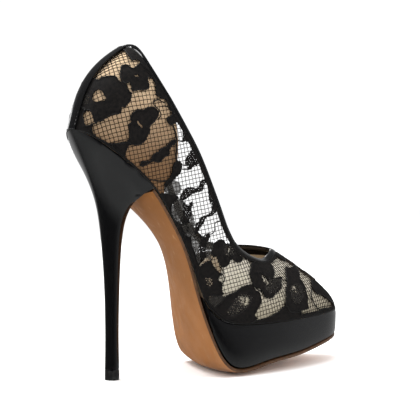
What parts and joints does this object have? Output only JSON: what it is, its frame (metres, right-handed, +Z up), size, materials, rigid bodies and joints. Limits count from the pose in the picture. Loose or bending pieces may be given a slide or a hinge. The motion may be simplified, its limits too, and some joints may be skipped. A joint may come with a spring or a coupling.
{
  "type": "high heel shoe",
  "caption": "Platform pump with a slim stiletto heel, a low-cut hollow lace upper, a piped collar, a strip over the back seam and one leather sole from toe to heel breast.",
  "frame": {"origin": "on the floor, under the middle of the shoe's bounding box", "axes": "+X from heel to toe, +Y to the inner side of the foot, +Z up"},
  "size_m": [0.2034, 0.0786, 0.2017],
  "materials": {
    "lace": "black lace net with raised motifs",
    "patent": "black patent gloss",
    "sole_leather": "tan sole leather, lightly burnished",
    "sock_leather": "nude lining leather",
    "hard_rubber": "hard black rubber"
  },
  "bodies": {
    "root": {"upper": "lace", "topline_binding": "patent", "back_strip": "patent", "insole": "sock_leather", "platform": "patent", "outsole": "sole_leather", "heel": "patent", "top_lift": "hard_rubber"}
  },
  "joints": []
}
